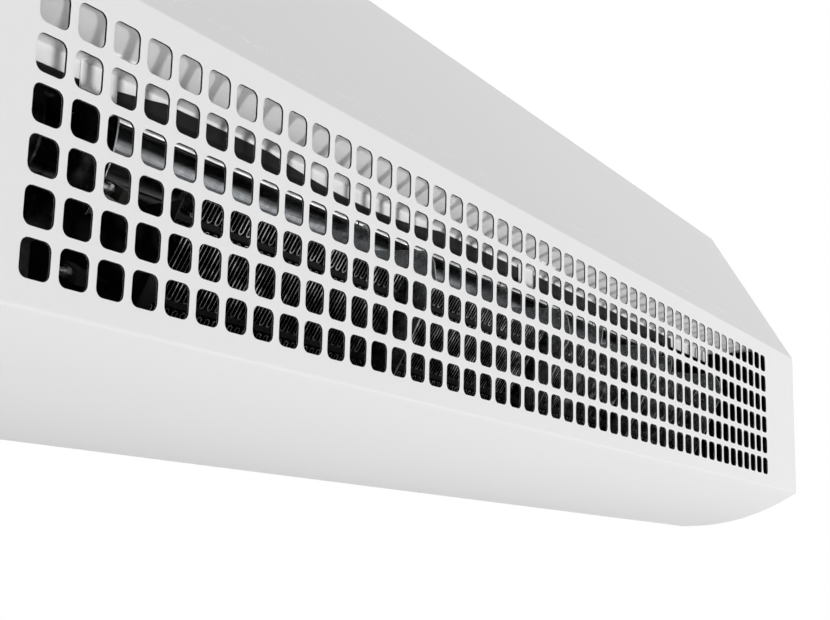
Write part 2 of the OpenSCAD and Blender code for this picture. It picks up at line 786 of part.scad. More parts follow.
module terminal_studs() color(steel)
    for (y = bar_y, side = [-1, 1]) {
        face = side < 0 ? bar_x0 - bar_end_w / 2 : bar_x1 + bar_end_w / 2;
        along(side < 0 ? face - stud_len : face, stud_len) on_stack() translate([fin_w / 2, y + bar_t / 2])
            circle(stud_r);
        along(side < 0 ? face - 5 : face + 2, 3) on_stack() translate([fin_w / 2, y + bar_t / 2])
            circle(3.8, $fn = 6);
    }

// ---- outlet ----

frame_flange = 4;

module outlet_frame() color("silver") difference() {
    union() {
        box([frame_x0, outlet_front, frame_low], [frame_x1 - frame_x0, outlet_rear - outlet_front, frame_h]);
        box([frame_x0 - frame_flange, outlet_front - frame_flange, recess + sheet_t],
            [frame_x1 - frame_x0 + 2 * frame_flange, outlet_rear - outlet_front + 2 * frame_flange, 2]);
    }
    box([frame_x0 + frame_t, outlet_front + frame_t, frame_low - 1],
        [frame_x1 - frame_x0 - 2 * frame_t, outlet_w, frame_h + 2]);
    for (d = vane_d) bar(frame_x0 - 1, frame_x1 - frame_x0 + 2, [d, vane_h], pivot_r + run_fit);
}

vane_x0 = frame_x0 + frame_t + vane_clear;
vane_x1 = frame_x1 - frame_t - 1.5;

// A lens-shaped blade on two pivot pins, with a cheek and a crank pin at its left end
module vane(d) color("silver") {
    lens_r = (pow(vane_chord / 2, 2) + pow(vane_t / 2, 2)) / vane_t;
    along(vane_x0 - cheek_t / 2, vane_x1 - vane_x0 + cheek_t / 2) translate([d, vane_h]) intersection() {
        translate([lens_r - vane_t / 2, 0]) circle(lens_r, $fn = 96);
        translate([-lens_r + vane_t / 2, 0]) circle(lens_r, $fn = 96);
    }
    along(vane_x0 - cheek_t, cheek_t) translate([d - 3, vane_h - 9]) square([6, 18]);
    bar(frame_x0, vane_x0 - cheek_t / 2 - frame_x0, [d, vane_h], pivot_r);
    bar(vane_x1 - 1, frame_x1 - vane_x1 + 1, [d, vane_h], pivot_r);
    bar(vane_x0 - cheek_t - 4, 4 + cheek_t / 2, [d, vane_h + crank_up], crank_r);
}

module vane_front() vane(vane_d[0]);
module vane_rear() vane(vane_d[1]);

module vane_link() color("silver")
    along(vane_x0 - cheek_t - 3.3, link_t) difference() {
        translate([vane_d[0] - 4, vane_h + crank_up - link_half]) square([vane_gap + 8, 2 * link_half]);
        for (d = vane_d) translate([d, vane_h + crank_up]) circle(crank_r + run_fit);
    }

// ---- electrics ----

module electrics_tray() color(galvanised) {
    box([tray_x, tray_face, tray_h0], [tray_w, tray_t, tray_rise]);
    for (x = [tray_x, tray_x + tray_w - tray_t])
        box([x, tray_face, tray_h0], [tray_t, tray_depth, tray_rise]);
}

// A box on the tray's face: from x (off the tray's left), height above its foot, and size
module on_tray(x, h, size) {
    box([tray_x + x, tray_face - size[1], tray_h0 + h], size);
}

module terminal_block() color("ivory") difference() {
    union() {
        on_tray(10, 8, [96, 12, 26]);
        on_tray(10, 13, [96, 20, 16]);
    }
    for (k = [0:7]) {
        at(tray_x + 16 + 12 * k, tray_face - 21, tray_h0 + 21) rotate([-90, 0, 0]) cylinder(h = 9, r = 3);
        at(tray_x + 16 + 12 * k, tray_face - 6, tray_h0 + 7) cylinder(h = 28, r = 2);
    }
}

module contactor() color([0.2, 0.2, 0.2]) {
    on_tray(12, 48, [46, 40, 60]);
    on_tray(16, 58, [38, 56, 40]);
    on_tray(66, 48, [40, 30, 60]);
}

board_t = 1.6;

module control_board() color("darkgreen") {
    for (x = [16, 98], h = [122, 182])
        at(tray_x + x, tray_face, tray_h0 + h) rotate([90, 0, 0]) cylinder(h = 8 + board_t / 2, r = 3);
    box([tray_x + 10, tray_face - 8 - board_t, tray_h0 + 116], [96, board_t, 72]);
    for (k = [0:3]) box([tray_x + 16 + 22 * k, tray_face - 23 - board_t, tray_h0 + 124], [18, 16, 24]);
    box([tray_x + 20, tray_face - 19 - board_t, tray_h0 + 158], [34, 12, 22]);
    for (k = [0:2]) at(tray_x + 66 + 12 * k, tray_face - 7 - board_t, tray_h0 + 168) rotate([90, 0, 0])
        cylinder(h = 15, r = 4.5);
}

module capacitors() color([0.75, 0.75, 0.72])
    for (x = [66, 90]) {
        on_tray(x - 8, 196, [16, 4, 26]);
        at(tray_x + x, tray_face - 14, tray_h0 + 196) cylinder(h = 26, r = 11);
    }

cutout_at = [tray_x + 26, tray_face - 16, cutout_h];

module thermal_cutout() color([0.12, 0.12, 0.12]) difference() {
    union() {
        on_tray(10, 192, [32, 16, 24]);
        at(cutout_at[0], cutout_at[1] + 1, cutout_at[2]) rotate([90, 0, 0]) cylinder(h = 5, r = 5);
    }
    at(cutout_at[0], cutout_at[1] + 9, cutout_at[2]) rotate([90, 0, 0]) cylinder(h = 16, r = button_r + 0.1);
}

module reset_button() color("red")
    at(cutout_at[0], cutout_at[1] + 9 - button_travel - 0.3, cutout_at[2]) rotate([90, 0, 0])
        cylinder(h = 15.5, r = button_r);

// Rings of a tube along the loom's route, square to the line's mean direction at each point
function loom_dir(i) = let (n = len(loom_route) - 1)
    unit((i < n ? unit(loom_route[i + 1] - loom_route[i]) : [0, 0])
        + (i > 0 ? unit(loom_route[i] - loom_route[i - 1]) : [0, 0]));
loom_points = [for (i = [0:len(loom_route) - 1], k = [0:loom_sides - 1])
    let (p = loom_route[i], side = left_of(loom_dir(i)), a = 360 * (k + 0.5) / loom_sides)
    [p[0] + loom_r * cos(a) * side[0], loom_d + loom_r * sin(a), p[1] + loom_r * cos(a) * side[1]]];
loom_quads = [for (i = [0:len(loom_route) - 2], k = [0:loom_sides - 1])
    let (a = i * loom_sides + k, b = i * loom_sides + (k + 1) % loom_sides)
    [a, b, b + loom_sides, a + loom_sides]];
loom_caps = [[for (k = [loom_sides - 1:-1:0]) k],
    [for (k = [0:loom_sides - 1]) (len(loom_route) - 1) * loom_sides + k]];

module wiring_loom() color(black)
    translate([0, y_front, -mount_h]) polyhedron(loom_points, concat(loom_quads, loom_caps));

clip_half = 7;

module loom_clips() color("white") {
    for (x = clip_x) difference() {
        box([x - 6, loom_d - clip_half, loom_h - clip_half],
            [12, casing_d - sheet_t - loom_d + clip_half, 2 * clip_half]);
        bar(x - 7, 14, [loom_d, loom_h], loom_r + seat_gap);
    }
    difference() {
        box([loom_down_x - 9, loom_d - clip_half, loom_end_h - 12],
            [18, casing_d - sheet_t - loom_d + clip_half, 18]);
        at(loom_down_x, loom_d, loom_end_h) cylinder(h = 10, r = loom_r + seat_gap);
    }
}

module cable_gland() color(black) difference() {
    at(tray_mid, gland_d, casing_h) union() {
        cylinder(h = 6, r = gland_bore_r + 8, $fn = 6);
        cylinder(h = 14, r = gland_bore_r + 5);
        translate([0, 0, -12]) cylinder(h = 14, r = gland_bore_r + 4);
        translate([0, 0, -sheet_t - 5]) cylinder(h = 5, r = gland_bore_r + 8, $fn = 6);
    }
    at(tray_mid, gland_d, casing_h - 20) cylinder(h = 40, r = gland_bore_r);
}

// ---- mounting ----

// Wall plate with two screw holes, a hook through the back panel's slot and a foot against the panel
bracket_half_w = 30;
bracket_over = 20;

module wall_bracket(x) color(galvanised) {
    back = casing_d + wall_gap;
    low = mount_h - bracket_screw_gap / 2 - bracket_over;
    difference() {
        box([x - bracket_half_w, back - bracket_t, low],
            [2 * bracket_half_w, bracket_t, bracket_screw_gap + 2 * bracket_over]);
        for (h = [-1, 1]) at(x, back + 1, mount_h + h * bracket_screw_gap / 2)
            rotate([90, 0, 0]) cylinder(h = bracket_t + 2, r = wall_hole_r);
    }
    box([x - hook_w / 2, casing_d - sheet_t - 0.4 - bracket_t, hook_h - bracket_t],
        [hook_w, wall_gap + sheet_t + 0.4 + bracket_t / 2, bracket_t]);
    box([x - hook_w / 2, casing_d - sheet_t - 0.4 - bracket_t, hook_h - bracket_t],
        [hook_w, bracket_t, hook_rise]);
    box([x - hook_w / 2, casing_d, low + 6], [hook_w, wall_gap - bracket_t / 2, bracket_t]);
}

module wall_bracket_left() wall_bracket(bracket_x[0]);
module wall_bracket_right() wall_bracket(bracket_x[1]);

module ceiling_inserts() color(steel)
    on_inserts() difference() {
        union() {
            cylinder(h = 1, r = insert_r + 3);
            translate([0, 0, -14]) cylinder(h = 14.5, r = insert_r);
        }
        translate([0, 0, -20]) cylinder(h = 30, r = insert_bore_r);
    }

front_cover();
hood_panel();
back_panel();
end_panel_left();
end_panel_right();
end_lining();
intake_shelf();
seal_strip();
shelf_brackets();
heater_bracket();
fan_plate_1();
fan_plate_2();
fan_plate_3();
fan_plate_4();
fan_plate_5();
scroll_1();
scroll_2();
scroll_3();
scroll_4();
tongue_1();
tongue_2();
tongue_3();
tongue_4();
wheel_1();
wheel_2();
wheel_3();
wheel_4();
link_shafts_left();
link_shafts_right();
motor_shaft_left();
motor_shaft_right();
bearings();
motor_left();
motor_right();
motor_bracket_left();
motor_bracket_right();
screws();
heater_bars();
fins_upper();
fins_middle();
fins_lower();
bar_ends();
terminal_studs();
outlet_frame();
vane_front();
vane_rear();
vane_link();
electrics_tray();
terminal_block();
contactor();
control_board();
capacitors();
thermal_cutout();
reset_button();
wiring_loom();
loom_clips();
cable_gland();
wall_bracket_left();
wall_bracket_right();
ceiling_inserts();
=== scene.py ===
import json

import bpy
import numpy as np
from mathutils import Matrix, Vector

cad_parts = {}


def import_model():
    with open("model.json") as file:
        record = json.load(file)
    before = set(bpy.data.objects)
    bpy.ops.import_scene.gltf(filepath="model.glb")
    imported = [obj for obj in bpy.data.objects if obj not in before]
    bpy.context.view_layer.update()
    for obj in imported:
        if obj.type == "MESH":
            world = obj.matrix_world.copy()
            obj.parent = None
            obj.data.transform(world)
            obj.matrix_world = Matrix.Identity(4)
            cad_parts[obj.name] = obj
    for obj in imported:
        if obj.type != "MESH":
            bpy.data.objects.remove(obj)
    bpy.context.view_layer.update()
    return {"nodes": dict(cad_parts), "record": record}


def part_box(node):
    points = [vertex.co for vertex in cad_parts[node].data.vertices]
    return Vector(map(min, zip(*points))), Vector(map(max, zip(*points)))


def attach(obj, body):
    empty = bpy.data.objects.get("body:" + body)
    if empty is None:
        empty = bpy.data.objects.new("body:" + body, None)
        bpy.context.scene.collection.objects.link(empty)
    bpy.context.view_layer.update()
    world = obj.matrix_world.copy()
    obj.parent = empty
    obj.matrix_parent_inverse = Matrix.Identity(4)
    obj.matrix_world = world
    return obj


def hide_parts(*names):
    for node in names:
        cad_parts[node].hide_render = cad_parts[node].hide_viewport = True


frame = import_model()

# Heated air curtain over a doorway: finer forms of the pieces that show, and the finish of every piece,
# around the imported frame. Shapes are in millimetres; lamps, the camera and the floor are in metres.
# A section point is [d, h]: d behind the casing's front face, h above its underside, and x runs along
# the casing.

# ---- sizes ----

MM = 0.001
end_low, end_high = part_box("end_panel_left")
FRONT_Y, UNDER_Z = end_low.y, end_low.z
CASING_H = (end_high.z - end_low.z) / MM
cover_low, cover_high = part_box("front_cover")
SKIN_X = np.array([cover_low.x, cover_high.x]) / MM

# Casing
HOLE_PITCH = 25.0
HOLE_W = 19.2
HOLE_CORNER = 4.5
HOLE_COLS = 48
HOLE_ROWS = 6
ROW_LOW = 66.5            # height of the lowest row's middle
FRONT_LOW = 43.0          # the bend under the grille
FRONT_TOP = 217.5         # the bend over it
SHEET_T = 1.2
FOLD_R = 3.0
BELLY_REACH = 146.0       # the belly's rear end
COVER_END = 157.0         # the fold behind its level tail
COVER_FOOT = 11.0         # height of the flange folded up there
SLOPE_RUN = 106.0         # depth of the slope
SEAM_UP = 20.5            # from the front's upper bend up the slope to the seam
SLOPE = np.array([SLOPE_RUN, CASING_H - FRONT_TOP])
SLOPE = SLOPE / np.linalg.norm(SLOPE)
BELLY_R = (BELLY_REACH ** 2 + FRONT_LOW ** 2) / (2 * FRONT_LOW)

# Shelf and strip
LAP = 1.5                 # from an outer skin to the sheet behind it
SEAT_GAP = 0.2            # between an edge and what it seats on
SHELF_X = (-701.5, 650.5)
SHELF_D = (1.8, 89.0)
SHELF_RISE = 34.5         # the shelf's front flange, up behind the slope
SHELF_FLANGE = 12.0       # its rear flange, down
SHELF_FOLD_R = 1.6
STRIP_X = (-635.0, 505.0)
STRIP_T = 1.5
STRIP_DROP = 3.2          # from the shelf down to the strip's straight top edge
SAGS = ((-180.0, 120.0, 8.0), (-560.0, 150.0, 12.0))     # middle, half width and dip of each

# Fans
PLATE_X = np.array([-455.0, -175.0, 67.0, 283.0, 495.0])  # the side plates
PLATE_T = 1.5
BAYS = len(PLATE_X) - 1
AXLE = np.array([172.0, 191.5])
WHEEL_R = 57.0
WHEEL_END_GAP = 8.0       # from a plate to the wheel
BLADES = 26
BLADE_T = 1.0
BLADE_SWEEP = 13.0        # degrees from a blade's inner edge to its outer one
BLADE_INNER = 0.79        # radius of the inner edge, as a share of the wheel's
RING_R = 43.03            # inner radius of the ring half way along a wheel
DISC_T = 1.5
HUB_R, HUB_LEN = 13.0, 14.0
SHAFT_R = 6.0
SCROLL_T = 1.0
SCROLL_GAP = 6.0          # between a wheel and the start of its scroll
SCROLL_TURN = (196.0, -12.0)                             # the spiral's first and last angle
SCROLL_GROWTH = 15.0      # what its radius gains from one to the other
BEAD = np.array([97.0, 195.0])                           # middle of the scroll's rolled edge
BEAD_R = 3.0
LIP_FOOT = BEAD + [6.0, -23.0]                           # lower end of the lip under it
LIP_HOLLOW = 4.0          # how far the lip's middle stands back from a straight line
LIP_FOLD_R = 1.3          # its folds into the spiral
RUN_BEND_R = 30.0         # the spiral's bend down to the outlet
TONGUE_ANGLE = 235.0      # place of the tongue's nose round the wheel
TONGUE_TAIL = (-20.0, -24.0)                             # and from the nose to its front edge
TONGUE_FOLD_R = 4.2
FRAME_TOP = 36.5          # outlet frame
FRAME_D = (165.0, 245.0)
FRAME_T = 2.0

# Heater
STACK = np.array([77.5, 88.0])                           # lower front corner of the middle fins
LEAN = np.radians(32.0)                                  # of the stack of bars and fins, from upright
BAR_T, BAR_W = 5.0, 13.0
BAR_END = 22.0            # how far the bars reach past the outer plates
FIN_W, FIN_T, FIN_PITCH = 18.0, 0.5, 7.75
FIN_SEAT = 0.1            # between a strip's folds and the bar
FIN_MARGIN = 6.0          # free length at each plate
FIN_LEAD = 20.0           # and more of it at the left of the first bay
FINS = {"fins_lower": (-19.0, 14.0), "fins_middle": (0.0, 48.0), "fins_upper": (53.0, 14.0)}  # foot, height


# ---- shapes ----

def in_row(x, d, h):
    """Row-frame positions in metres of points given by x and section coordinates, as one array."""
    x, d, h = np.broadcast_arrays(np.asarray(x, float), d, h)
    return np.stack([x * MM, FRONT_Y + d * MM, UNDER_Z + h * MM], -1)


def lattice(points, around=False):
    """Vertices and quads of grids of points shaped (..., rows, columns, 3); around closes each row
    back to its first column. Each quad joins (i, j), (i + 1, j), (i + 1, j + 1) and (i, j + 1)."""
    index = np.arange(np.prod(points.shape[:-1])).reshape(points.shape[:-1])
    if around:
        index = np.concatenate([index, index[..., :1]], -1)
    quads = np.stack([index[..., :-1, :-1], index[..., 1:, :-1],
                      index[..., 1:, 1:], index[..., :-1, 1:]], -1)
    return points.reshape(-1, 3), quads.reshape(-1, 4)


def turned_over(patch):
    """The same patch with its faces looking the other way."""
    return patch[0], patch[1][:, ::-1]


def joined(patches, nearness=2e-7):
    """One patch of several, with the vertices that lie on each other, to a nearness in metres, made
    one."""
    starts = np.cumsum([0] + [len(p[0]) for p in patches[:-1]])
    points = np.concatenate([p[0] for p in patches])
    quads = np.concatenate([p[1] + s for p, s in zip(patches, starts)])
    _, first, same = np.unique(np.round(points / nearness).astype(np.int64), axis=0,
                               return_index=True, return_inverse=True)
    return points[first], same.reshape(-1)[quads]


def piece(name, patches, finish, body="root", replaces=(), edge=0.0, crease=35.0):
    """A finished piece: its patches joined, smooth across angles under crease degrees, with its sharp
    edges rounded over edge millimetres, riding on a body and standing for the nodes it replaces. A
    quad with two corners joined is a triangle, and one with fewer than three corners left is dropped."""
    points, quads = joined(patches)
    kept = quads != np.roll(quads, -1, axis=1)
    kept[kept.sum(1) < 3] = False
    corners = kept.sum(1)
    corners = corners[corners > 0]
    mesh = bpy.data.meshes.new(name)
    mesh.vertices.add(len(points))
    mesh.vertices.foreach_set("co", points.astype(np.float32).ravel())
    mesh.loops.add(int(corners.sum()))
    mesh.loops.foreach_set("vertex_index", quads[kept].astype(np.int32))
    mesh.polygons.add(len(corners))
    mesh.polygons.foreach_set("loop_start", (np.cumsum(corners) - corners).astype(np.int32))
    mesh.update(calc_edges=True)
    mesh.validate()
    mesh.shade_smooth()
    made = bpy.data.objects.new(name, mesh)
    bpy.context.scene.collection.objects.link(made)
    mesh.materials.append(finish)
    if edge:
        bevel = made.modifiers.new("edges", "BEVEL")
        bevel.width, bevel.segments = edge * MM, 2
        bevel.limit_method, bevel.angle_limit = "ANGLE", np.radians(crease)
    else:
        mesh.set_sharp_from_angle(angle=np.radians(crease))
    weighted = made.modifiers.new("shading", "WEIGHTED_NORMAL")
    weighted.keep_sharp = True
    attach(made, body)
    if replaces:
        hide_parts(*replaces)


def toward(angle, radius=1.0):
    """Section coordinates of the points at an angle in degrees and a radius: radius times its cosine
    and its sine."""
    a = np.radians(angle)
    return np.stack([radius * np.cos(a), radius * np.sin(a)], -1)


def arc(centre, radius, start, stop, steps):
    """Section points on a circle, from angle start to stop in degrees, both included."""
    return np.asarray(centre) + toward(np.linspace(start, stop, steps + 1), radius)


def bent(corners, radius, steps=8):
    """An open section line with each inner corner rounded to radius: the arc's centre lies on the
    corner's bisector, and its points turn evenly from one side's tangent point to the other's."""
    corners = np.asarray(corners, float)
    line = [corners[:1]]
    for before, corner, after in zip(corners[:-2], corners[1:-1], corners[2:]):
        a, b = before - corner, after - corner
        a, b = a / np.linalg.norm(a), b / np.linalg.norm(b)
        half = np.arccos(np.clip(a @ b, -1, 1)) / 2
        middle = corner + (a + b) / np.linalg.norm(a + b) * radius / np.sin(half)
        first = corner + a * radius / np.tan(half) - middle
        side = np.sign(a[1] * b[0] - a[0] * b[1])
        turn = side * np.linspace(0, np.pi - 2 * half, steps + 1)[:, None]
        line.append(middle + np.concatenate([first[0] * np.cos(turn) - first[1] * np.sin(turn),
                                             first[0] * np.sin(turn) + first[1] * np.cos(turn)], 1))
    return np.concatenate(line + [corners[-1:]])


def normals_of(line):
    """Unit vectors to the left of an open section line at its points, stretched at corners so that a
    line moved along them keeps its distance."""
    steps = np.diff(line, axis=0)
    left = np.stack([-steps[:, 1], steps[:, 0]], -1) / np.linalg.norm(steps, axis=1)[:, None]
    a, b = np.concatenate([left[:1], left]), np.concatenate([left, left[-1:]])
    return (a + b) / (1 + (a * b).sum(1))[:, None]


def evenly(line, spacing):
    """The line with points added so that no step is longer than spacing."""
    parts = [np.linspace(p, q, int(np.ceil(np.linalg.norm(q - p) / spacing)) + 1)[:-1]
             for p, q in zip(line[:-1], line[1:])]
    return np.concatenate(parts + [line[-1:]])


def carried(loop, stations):
    """A section loop carried along x and closed round itself."""
    x = np.asarray(stations, float)[:, None]
    return turned_over(lattice(in_row(x, loop[None, :, 0], loop[None, :, 1]), around=True))


def end_face(x, near, far, around=False):
    """The face at x between two section lines, or between two closed loops with around."""
    return lattice(in_row(x, *np.moveaxis(np.stack([near, far]), -1, 0)), around)


def folded_sheet(line, thickness, stations):
    """A sheet folded along a section line, its thickness to the left, over x stations: the outer face
    is the line carried along x, the inner face the line moved by the thickness, and four strips
    close the edges."""
    inner = line + normals_of(line) * thickness
    return [carried(np.concatenate([line, inner[::-1]]), stations), end_face(stations[0], line, inner),
            turned_over(end_face(stations[-1], line, inner))]


def rod(loop, stations):
    """A closed section loop, drawn with its inside on the left, carried along x and closed at its ends
    by triangles round its middle."""
    middle = np.broadcast_to(loop.mean(0), loop.shape)
    return [carried(loop, stations), end_face(stations[0], loop, middle, around=True),
            turned_over(end_face(stations[-1], loop, middle, around=True))]


# ---- node materials ----

class Finish:
    """A material under construction: a Principled shader and the nodes that feed it, all patterns on
    Object coordinates in metres."""

    def __init__(self, name, colour, rough, metal=0.0, **sockets):
        self.material = bpy.data.materials.new(name)
        self.material.use_nodes = True
        self.tree = self.material.node_tree
        self.shader = self.tree.nodes["Principled BSDF"]
        self.where = self.add("ShaderNodeTexCoord").outputs["Object"]
        self.height = None
        self.set("Base Color", (*colour, 1.0))
        self.set("Roughness", rough)
        self.set("Metallic", metal)
        for socket, value in sockets.items():
            self.set(socket.replace("_", " ").title().replace("Ior", "IOR"), value)

    def set(self, socket, value):
        """A constant on one of the shader's sockets."""
        self.shader.inputs[socket].default_value = value

    def feed(self, socket, output):
        """An output linked to one of the shader's sockets."""
        self.tree.links.new(output, self.shader.inputs[socket])

    def add(self, kind, inputs=None, **settings):
        """A node with its settings, and its inputs given as values or as outputs to link."""
        node = self.tree.nodes.new(kind)
        for key, value in settings.items():
            setattr(node, key, value)
        for key, value in (inputs or {}).items():
            if isinstance(value, bpy.types.NodeSocket):
                self.tree.links.new(value, node.inputs[key])
            else:
                node.inputs[key].default_value = value
        return node

    def stretched(self, scale):
        """Object coordinates scaled by three factors, so that a pattern runs along one axis."""
        return self.add("ShaderNodeMapping", {"Vector": self.where, "Scale": scale}).outputs["Vector"]

    def place(self, axis):
        """Where a point lies along X, Y or Z."""
        return self.add("ShaderNodeSeparateXYZ", {"Vector": self.where}).outputs[axis]

    def noise(self, scale, detail=3.0, stretch=None):
        """Cloudy noise, so many waves to a metre."""
        vector = self.stretched(stretch) if stretch else self.where
        return self.add("ShaderNodeTexNoise",
                        {"Vector": vector, "Scale": scale, "Detail": detail}).outputs["Fac"]

    def cells(self, scale, kind="F1", output="Color"):
        """Cells like spangles or pores, so many to a metre."""
        return self.add("ShaderNodeTexVoronoi", {"Vector": self.where, "Scale": scale},
                        feature=kind).outputs[output]

    def spread(self, value, low, high, source=(0.0, 1.0)):
        """A value mapped from the source range onto low to high, clamped."""
        return self.add("ShaderNodeMapRange", {"Value": value, "From Min": source[0], "From Max": source[1],
                                               "To Min": low, "To Max": high}).outputs["Result"]

    def math(self, operation, *values):
        """One number worked out from values or outputs."""
        return self.add("ShaderNodeMath", dict(enumerate(values)), operation=operation).outputs[0]

    def within(self, value, low, high):
        """One where a value lies from low to high, and zero elsewhere."""
        return self.math("COMPARE", value, (low + high) / 2, (high - low) / 2)

    def over(self, value, low, high):
        """A colour laid over another, each a value or an output, where a value is one."""
        return self.add("ShaderNodeMix", {0: value, 6: low, 7: high}, data_type="RGBA").outputs[2]

    def blend(self, value, low, high):
        """Two plain colours mixed by a value."""
        ramp = self.add("ShaderNodeValToRGB", {"Fac": value})
        ramp.color_ramp.elements[0].color = (*low, 1.0)
        ramp.color_ramp.elements[1].color = (*high, 1.0)
        return ramp.outputs["Color"]

    def bump(self, height, distance, strength=1.0):
        """Adds relief of a depth in millimetres over what is there already."""
        inputs = {"Height": height, "Distance": distance * MM, "Strength": strength}
        if self.height:
            inputs["Normal"] = self.height
        self.height = self.add("ShaderNodeBump", inputs).outputs["Normal"]
        self.feed("Normal", self.height)


def shades(colour, share):
    """A colour made darker and lighter by a share of itself."""
    colour = np.array(colour)
    return tuple(colour * (1 - share)), tuple(np.minimum(colour * (1 + share), 1.0))


def powder_coat():
    """Smooth white coating: slight orange peel and very soft drifts of tone and gloss. Where the sheet is
    punched, from just behind the grille's front face to just short of its rear one, the cut edge is bare
    steel and dull, painted near black as painted shade on the holes' walls."""
    white = (0.79, 0.79, 0.79)
    cut_depth = np.array([0.09, 1.17]) * MM
    grille_h = (ROW_LOW + HOLE_PITCH * np.array([-0.5, HOLE_ROWS - 0.5])) * MM
    paint = Finish("powder_coat", white, 0.58, specular_ior_level=0.3)
    inside = paint.within(paint.place("Y"), *(FRONT_Y + cut_depth))
    cut = paint.math("MULTIPLY", inside, paint.within(paint.place("Z"), *(UNDER_Z + grille_h)))
    drift = paint.blend(paint.noise(3.0, 1.0), *shades(white, 0.01))
    # Painted shade: the holes' cut walls are coloured near black.
    paint.feed("Base Color", paint.over(cut, drift, (0.012, 0.012, 0.012, 1.0)))
    gloss = paint.spread(paint.noise(40.0), 0.56, 0.6, (0.3, 0.7))
    paint.feed("Roughness", paint.math("MAXIMUM", gloss, cut))
    paint.bump(paint.noise(500.0, 2.0), 0.004, 0.3)
    return paint.material


def shelf_paint():
    """The shelf's white primer, a little streaky along the sheet."""
    paint = Finish("shelf_primer", (0.8, 0.8, 0.8), 0.5)
    streaks = paint.noise(60.0, stretch=(0.1, 1.0, 1.0))
    paint.feed("Base Color", paint.blend(streaks, (0.77, 0.77, 0.77), (0.83, 0.83, 0.83)))
    paint.bump(paint.noise(500.0, 2.0), 0.004, 0.3)
    return paint.material


def zinc(name, colour, rubbed=False):
    """Galvanised sheet: spangles a few millimetres across, fine drawing lines along x, and grain. With
    rubbed, the scrolls' rolled edge is bright and smooth."""
    metal = Finish(name, colour, 0.3, 1.0)
    spangle = metal.blend(metal.spread(metal.cells(260.0), 0.0, 1.0), *shades(colour, 0.2))
    dull = metal.spread(metal.noise(260.0, stretch=(0.05, 1.0, 1.0)), 0.14, 0.28, (0.3, 0.7))
    metal.bump(metal.noise(900.0, 2.0, stretch=(0.03, 1.0, 1.0)), 0.01, 0.4)
    metal.bump(metal.noise(1100.0, 1.0), 0.02, 0.5)
    if rubbed:
        front = metal.math("LESS_THAN", metal.place("Y"), FRONT_Y + (BEAD[0] + BEAD_R + 1) * MM)
        high = metal.math("GREATER_THAN", metal.place("Z"), UNDER_Z + (BEAD[1] - BEAD_R) * MM)
        bead = metal.math("MULTIPLY", front, high)
        spangle = metal.over(bead, spangle, (0.95, 0.95, 0.95, 1.0))
        dull = metal.spread(bead, dull, 0.12)
    metal.feed("Base Color", spangle)
    metal.feed("Roughness", dull)
    return metal.material


def rolled(name, colour, rough, grain=(0.04, 1.0, 1.0), metallic=1.0, **sockets):
    """Bare metal with the lines of its rolling or turning along one axis."""
    metal = Finish(name, colour, rough, metallic, **sockets)
    lines = metal.noise(1400.0, 2.0, stretch=grain)
    metal.feed("Base Color", metal.blend(metal.noise(60.0), *shades(colour, 0.12)))
    metal.feed("Roughness", metal.spread(lines, rough * 0.75, rough * 1.3, (0.3, 0.7)))
    metal.bump(lines, 0.008, 0.5)
    return metal.material


def fin_strip():
    """Aluminium strip, smooth, painted dark between the folds as painted shade, with a painted highlight in
    patches along its front edge for the light that falls on it through the holes. The front edge is where
    the distance across the leaning stack is under half a millimetre: y times the cosine of the lean and z
    times its sine, less the same of the stack's front corner."""
    metal = Finish("fin_aluminium", (0.2, 0.2, 0.21), 0.2, 1.0)
    across = metal.add("ShaderNodeVectorMath", {0: metal.where, 1: (0.0, np.cos(LEAN), np.sin(LEAN))},
                       operation="DOT_PRODUCT").outputs["Value"]
    front = (FRONT_Y + STACK[0] * MM) * np.cos(LEAN) + (UNDER_Z + STACK[1] * MM) * np.sin(LEAN)
    # Painted highlight in patches along the front edge; the darker faces between the folds are painted
    # shade.
    edge = metal.spread(across, 1.0, 0.0, (front + 0.2 * MM, front + 0.5 * MM))
    edge_glints = metal.spread(metal.noise(70.0, 1.0, stretch=(1.6, 1.0, 1.0)), 0.06, 0.8, (0.48, 0.64))
    edge = metal.math("MULTIPLY", edge, edge_glints)
    dark = metal.blend(metal.noise(60.0), (0.15, 0.15, 0.16), (0.25, 0.25, 0.26))
    metal.feed("Base Color", metal.over(edge, dark, (0.93, 0.93, 0.93, 1.0)))
    metal.feed("Metallic", metal.spread(edge, 1.0, 0.35))
    grain = metal.noise(1400.0, 2.0, stretch=(1.0, 1.0, 0.04))
    metal.feed("Roughness", metal.spread(grain, 0.15, 0.3, (0.3, 0.7)))
    return metal.material


def moulded(name, colour, rough, texture=0.03):
    """Moulded plastic or rubber: fine spark-eroded texture and faint tone drift."""
    skin = Finish(name, colour, rough)
    skin.feed("Base Color", skin.blend(skin.noise(120.0), *shades(colour, 0.08)))
    skin.feed("Roughness", skin.spread(skin.noise(300.0), rough * 0.85, min(rough * 1.15, 1.0), (0.3, 0.7)))
    skin.bump(skin.noise(1800.0, 2.0), texture, 0.4)
    return skin.material


def rubber():
    """Black rubber strip with faint upright streaks and a soft sheen."""
    strip = Finish("strip_rubber", (0.006, 0.006, 0.006), 0.5, specular_ior_level=0.25)
    streaks = strip.noise(220.0, 3.0, stretch=(1.0, 1.0, 0.06))
    strip.feed("Base Color", strip.blend(streaks, (0.002, 0.002, 0.002), (0.016, 0.016, 0.016)))
    strip.feed("Roughness", strip.spread(streaks, 0.35, 0.6, (0.3, 0.7)))
    strip.bump(streaks, 0.03, 0.5)
    return strip.material


def black_enamel():
    """Baked black paint on cast or pressed metal."""
    coat = Finish("black_enamel", (0.004, 0.004, 0.004), 0.4, specular_ior_level=0.2)
    coat.feed("Roughness", coat.spread(coat.noise(200.0), 0.3, 0.5, (0.3, 0.7)))
    coat.bump(coat.noise(900.0), 0.03, 0.5)
    return coat.material


